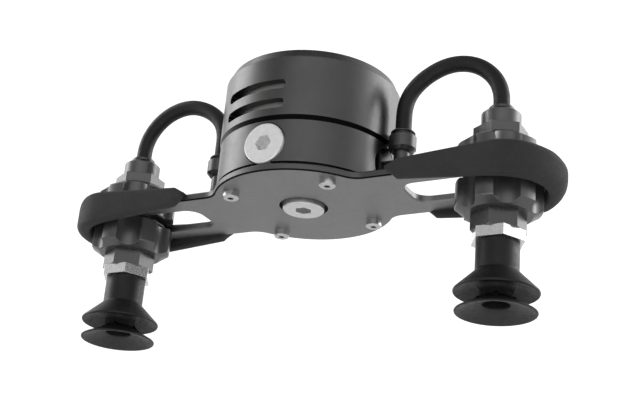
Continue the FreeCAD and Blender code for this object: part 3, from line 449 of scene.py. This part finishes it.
def skin(rows, closed_rows=True, closed_columns=True):
    """A mesh through rows of points, each row the same length."""
    made = bmesh.new()
    grid = [[made.verts.new(point) for point in row] for row in rows]
    last_row = len(grid) if closed_rows else len(grid) - 1
    width = len(grid[0])
    last_column = width if closed_columns else width - 1
    for i in range(last_row):
        for j in range(last_column):
            here, after = grid[i], grid[(i + 1) % len(grid)]
            made.faces.new((here[j], here[(j + 1) % width], after[(j + 1) % width], after[j]))
    return made, grid


def finish_mesh(made, name):
    bmesh.ops.recalc_face_normals(made, faces=made.faces)
    mesh = bpy.data.meshes.new(name)
    made.to_mesh(mesh)
    made.free()
    return mesh


def lathe(profile, centre, steps=96):
    """Turns a closed outline of (radius, height) points about an upright axis."""
    rows = []
    for index in range(steps):
        angle = 2 * math.pi * index / steps
        rows.append([Vector((centre.x + r * math.cos(angle), centre.y + r * math.sin(angle), z))
                     for r, z in profile])
    return skin(rows)[0]


CORNER_STEPS = (0, 0.25, 0.5, 0.75, 1)
CORNER_SHARE = 0.45


def smooth_outline(corners, radius_of):
    """Rounds a closed outline: each corner is cut back by its radius and bent in five points."""
    points = []
    count = len(corners)
    for index, corner in enumerate(corners):
        corner = Vector(corner)
        before = Vector(corners[index - 1])
        after = Vector(corners[(index + 1) % count])
        reach = min(radius_of[index], (before - corner).length * CORNER_SHARE,
                    (after - corner).length * CORNER_SHARE)
        start = corner + (before - corner).normalized() * reach
        end = corner + (after - corner).normalized() * reach
        for step in CORNER_STEPS:
            points.append(start * (1 - step) ** 2 + corner * 2 * step * (1 - step)
                          + end * step ** 2)
    return points


# ---- suction cups -------------------------------------------------------------------------------

CUP_WAIST = 8.2 * MM
CUP_BORE = 6.5 * MM
NIPPLE_SEAT = 7.45 * MM
CUP_STEPS = 128
RIB_TURN = 20
RIB_HALF = 0.9 * MM


def cup_outline(side):
    """Half section of the bellows cup: radius and height of its corners, softness of each in mm."""
    neck_low, neck_high = low(f"{side}_cup_neck").z, high(f"{side}_cup_neck").z
    fold_low = low(f"{side}_cup_fold").z
    lip_low, lip_high = low(f"{side}_cup_lip").z, high(f"{side}_cup_lip").z
    neck = (high(f"{side}_cup_neck").x - low(f"{side}_cup_neck").x) / 2
    fold = (high(f"{side}_cup_fold").x - low(f"{side}_cup_fold").x) / 2
    lip = (high(f"{side}_cup_lip").x - low(f"{side}_cup_lip").x) / 2
    fold_edge = fold_low + 3.1 * MM
    return [
        (NIPPLE_SEAT, neck_high, 0.3), (neck, neck_high, 0.5), (neck, neck_low - 0.3 * MM, 0.8),
        (fold, fold_edge + 0.6 * MM, 0.7), (fold - 0.5 * MM, fold_edge - 0.5 * MM, 0.6),
        (CUP_WAIST + 2.0 * MM, fold_edge + 3.9 * MM, 1.6), (CUP_WAIST, fold_edge + 1.6 * MM, 1.4),
        (CUP_WAIST, lip_high + 0.4 * MM, 1.4), (CUP_WAIST + 1.9 * MM, lip_high - 0.7 * MM, 1.6),
        (lip, lip_low + 0.7 * MM, 0.5), (lip - 0.3 * MM, lip_low, 0.3),
        (lip - 1.3 * MM, lip_low, 0.5), (11.0 * MM, lip_low + 2.7 * MM, 1.2),
        (6.7 * MM, lip_low + 4.1 * MM, 0.7), (CUP_BORE, lip_high + 1.5 * MM, 1.2),
        (CUP_BORE, fold_edge + 3.0 * MM, 1.5), (NIPPLE_SEAT, fold_edge + 5.5 * MM, 0.8)]


def cup_ribs(made, side, centre):
    """Four short ribs that brace the lip against the waist."""
    lip_low, lip_high = low(f"{side}_cup_lip").z, high(f"{side}_cup_lip").z
    for quarter in range(4):
        angle = math.radians(RIB_TURN + 90 * quarter)
        along = Vector((math.cos(angle), math.sin(angle), 0))
        across = Vector((-math.sin(angle), math.cos(angle), 0)) * RIB_HALF
        foot = (lip_low + lip_high) / 2
        shape = [(7.6 * MM, lip_high - 0.9 * MM), (7.6 * MM, lip_high + 2.0 * MM),
                 (8.9 * MM, lip_high + 1.7 * MM), (12.9 * MM, foot + 0.6 * MM),
                 (12.4 * MM, foot - 0.6 * MM)]
        walls = []
        for way in (-1, 1):
            walls.append([made.verts.new(centre + along * r + across * way
                                         + Vector((0, 0, z))) for r, z in shape])
        made.faces.new(walls[0])
        made.faces.new(list(reversed(walls[1])))
        count = len(shape)
        for j in range(count):
            made.faces.new((walls[0][j], walls[1][j],
                            walls[1][(j + 1) % count], walls[0][(j + 1) % count]))


def make_cup(side, finish):
    """One bellows cup in rubber, from its neck down to its lip."""
    corners = cup_outline(side)
    outline = smooth_outline([corner[:2] for corner in corners],
                             [corner[2] * MM for corner in corners])
    centre = Vector((middle(f"{side}_cup_lip").x, 0, 0))
    made = lathe([tuple(point) for point in outline], centre, CUP_STEPS)
    cup_ribs(made, side, centre)
    mesh = finish_mesh(made, f"{side}_cup")
    piece = new_piece(f"{side}_cup", mesh, finish, None, "cup_rubber",
                      f"{side}_cup_neck", f"{side}_cup_fold", f"{side}_cup_lip")
    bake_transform(piece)


# ---- air tubes ----------------------------------------------------------------------------------

# X and Z of the points that guide the right-hand tube's centre line, from elbow to socket.
ARCH = [(0.0555, -0.0447), (0.0555, -0.0340), (0.0555, -0.0151), (0.0655, -0.0032),
        (0.0816, 0.0031), (0.0981, -0.0013), (0.1094, -0.0151), (0.1094, -0.0345),
        (0.1094, -0.0437)]
TUBE_RADIUS = (high("right_tube").y - low("right_tube").y) / 2


def smooth_route(points):
    """Points along the smooth curve that a list of guiding points makes."""
    data = bpy.data.curves.new("route", "CURVE")
    data.dimensions = "3D"
    data.resolution_u = 16
    spline = data.splines.new("NURBS")
    spline.points.add(len(points) - 1)
    for spot, point in zip(spline.points, points):
        spot.co = (*point, 1)
    spline.order_u = 3
    spline.use_endpoint_u = True
    curve = bpy.data.objects.new("route", data)
    bpy.context.scene.collection.objects.link(curve)
    bpy.context.view_layer.update()
    mesh = bpy.data.meshes.new_from_object(
        curve.evaluated_get(bpy.context.evaluated_depsgraph_get()))
    route = [vertex.co.copy() for vertex in mesh.vertices]
    bpy.data.meshes.remove(mesh)
    bpy.data.objects.remove(curve)
    bpy.data.curves.remove(data)
    return route


def sweep(route, radius, steps=40):
    """A round bar along a route that lies in an upright plane."""
    rows = []
    side_way = Vector((0, 1, 0))
    for index, point in enumerate(route):
        ahead = route[min(index + 1, len(route) - 1)] - route[max(index - 1, 0)]
        out = ahead.normalized().cross(side_way)
        rows.append([point + radius * (out * math.cos(turn) + side_way * math.sin(turn))
                     for turn in (2 * math.pi * k / steps for k in range(steps))])
    made, grid = skin(rows, closed_rows=False)
    made.faces.new(grid[0])
    made.faces.new(list(reversed(grid[-1])))
    return made


def make_tube(side, sign, finish):
    """The air tube from the elbow up and over to the cup's push-in socket."""
    route = smooth_route([(sign * x, 0, z) for x, z in ARCH])
    mesh = finish_mesh(sweep(route, TUBE_RADIUS), f"{side}_air_tube")
    piece = new_piece(f"{side}_air_tube", mesh, finish, None, "tube_black", f"{side}_tube")
    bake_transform(piece)


# ---- bumpers ------------------------------------------------------------------------------------

BUMPER_INNER = 23.9 * MM
BUMPER_OUTER = 28.9 * MM
# Half heights at the tip and at the end of its wedge, then what the nose loses in two steps, in mm.
SHAPE_ABOVE = (2.3, 5.9, 0.3, 2.4)
SHAPE_BELOW = (-0.6, 5.0, 0.3, 1.4)
# Shares of the straight flank, from tip to cup, where the section is set.
FLANK_SHARES = (0, 0.03, 0.06, 0.09, 0.12, 0.16, 0.3, 0.5, 0.7, 0.86, 1.0)
NOSE_STEPS = 24
# Each flank of the nose is an arc about its own centre, seen from the cup's axis.
NOSE_START = 8.0 * MM
NOSE_CENTRE = Vector((-0.9 * MM, 5.5 * MM))
NOSE_RADIUS = 36.0 * MM
EASED_FROM = 12
EASED_TIMES = 4
# The outer edges grow softer, by up to this much, from a distance past the cup's axis.
NOSE_SOFT = 4.0 * MM
SOFT_FROM = 18 * MM
SECTION_STEPS = 5


def bumper_half(x, rise):
    """Half height of a bumper at a distance from the middle of the gripper, above or below."""
    tip, root, shoulder, nose = SHAPE_ABOVE if rise > 0 else SHAPE_BELOW
    places = [BUMPER_TIP, BUMPER_TIP + 6.1 * MM, CUP_X + 6 * MM, BUMPER_NOSE - 11 * MM,
              BUMPER_NOSE - 4.5 * MM, BUMPER_NOSE]
    halves = [tip * MM, root * MM, BUMPER_HALF, BUMPER_HALF, BUMPER_HALF - shoulder * MM,
              BUMPER_HALF - nose * MM]
    return float(np.interp(x, places, halves))


def nose_reach(angle):
    """How far the bumper's outside is from the cup's axis, at an angle in plan."""
    along = Vector((math.cos(angle), -abs(math.sin(angle))))
    straight = BUMPER_OUTER / max(-along.y, 0.01)
    if straight * along.x < NOSE_START:
        return straight
    lead = along.dot(NOSE_CENTRE)
    return lead + math.sqrt(lead ** 2 - NOSE_CENTRE.length_squared + NOSE_RADIUS ** 2)


def bumper_stations():
    """Pairs of points (inner, outer) in plan, from one tip round the nose to the other."""
    front = []
    for share in FLANK_SHARES:
        x = BUMPER_TIP + (CUP_X - BUMPER_TIP) * share
        front.append(((x, -BUMPER_INNER), (x, -BUMPER_OUTER)))
    for index in range(1, NOSE_STEPS):
        angle = -math.pi / 2 + math.pi / 2 * index / NOSE_STEPS
        spots = []
        for reach in (BUMPER_INNER, nose_reach(angle)):
            spots.append((CUP_X + reach * math.cos(angle), reach * math.sin(angle)))
        front.append(tuple(spots))
    back = [((a[0], -a[1]), (b[0], -b[1])) for a, b in reversed(front)]
    tip = ((CUP_X + BUMPER_INNER, 0), (CUP_X + nose_reach(0), 0))
    return eased(front + [tip] + back)


def eased(stations):
    """Softens the bend where the two flanks of the nose meet."""
    for _ in range(EASED_TIMES):
        outer = [Vector(pair[1]) for pair in stations]
        for index in range(EASED_FROM, len(stations) - EASED_FROM):
            mean = (outer[index - 1] + 2 * outer[index] + outer[index + 1]) / 4
            stations[index] = (stations[index][0], tuple(mean))
    return stations


def bumper_section(inner, outer):
    """Rounded section between an inner and an outer point, as points in space."""
    inner, outer = Vector((*inner, 0)), Vector((*outer, 0))
    wide = (outer - inner).length
    along = (outer - inner).normalized()
    points = []
    corners = ((wide, 1, 2.3 * MM), (wide, -1, 2.3 * MM), (0, -1, 2.0 * MM), (0, 1, 1.1 * MM))
    for index, (place, rise, soft) in enumerate(corners):
        if place:
            share = (outer.x - CUP_X - SOFT_FROM) / (BUMPER_NOSE - CUP_X - SOFT_FROM)
            soft += NOSE_SOFT * max(0.0, share)
        soft = max(0.0, min(soft, wide * 0.6, bumper_half(inner.x, rise) * 0.8))
        inward = -1 if place else 1
        spots = []
        for step in range(SECTION_STEPS + 1):
            bend = math.pi / 2 * step / SECTION_STEPS
            spots.append((place + inward * soft * (1 - math.sin(bend)),
                          soft * (1 - math.cos(bend))))
        if index % 2:
            spots.reverse()
        for across, down in spots:
            spot = inner + along * across
            spot.z = rise * (bumper_half(spot.x, rise) - down)
            points.append(spot)
    return points


def make_bumper(side, sign, finish):
    """The rubber bumper that hugs the edge of one arm."""
    rows = [bumper_section(inner, outer) for inner, outer in bumper_stations()]
    turned = [[Vector((sign * p.x, p.y, PLATE_MIDDLE + p.z)) for p in row] for row in rows]
    made, grid = skin(turned, closed_rows=False)
    for end in (grid[0], grid[-1]):
        made.faces.new(end)
    mesh = finish_mesh(made, f"{side}_bumper_pad")
    new_piece(f"{side}_bumper_pad", mesh, finish, "root", "bumper_rubber", f"{side}_bumper")


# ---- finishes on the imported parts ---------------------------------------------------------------

def dress(finishes):
    """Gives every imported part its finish."""
    plain = {
        "housing": ("coupling_ring", "upper_housing", "manifold_block"),
        "plate": ("bracket_plate",),
        "steel": ("coupling_screws", "housing_screws", "bracket_screws", "supply_plunger"),
        "front_face": ("front_plug",),
        "bottom_face": ("bottom_plug",),
        "seal": ("housing_gasket", "front_plug_seal", "bottom_plug_seal"),
        "plastic": ("ejector_block", "supply_valve", "vacuum_sensor", "signal_connector",
                    "rear_sleeve"),
        "brass": ("ejector_nozzle",),
        "felt": ("silencer",),
        "board": ("control_board",),
        "fitting": ("rear_inlet",),
    }
    sided = {
        "stud": ("elbow_stud",),
        "fitting": ("elbow_body", "elbow_sleeve", "adapter", "push_sleeve"),
        "nut": ("upper_nut", "lower_nut", "stem", "push_socket"),
        "nickel": ("nipple",),
        "steel": ("screen",),
        "plastic": ("washers",),
    }
    for finish, names in plain.items():
        for name in names:
            paint(name, finishes[finish])
    for side in SIDES:
        for finish, names in sided.items():
            for name in names:
                paint(f"{side}_{name}", finishes[finish])


def paint(name, material):
    data = NODES[name].data
    data.materials.clear()
    data.materials.append(material)


def main():
    bpy.context.scene.view_settings.view_transform = "Standard"
    make_camera()
    make_sky()
    make_floor()
    for light in SOFTBOXES:
        softbox(*light)
    finishes = make_finishes()
    dress(finishes)
    for side, sign in SIDES.items():
        make_cup(side, finishes["cup"])
        make_tube(side, sign, finishes["tube"])
        make_bumper(side, sign, finishes["bumper"])


main()
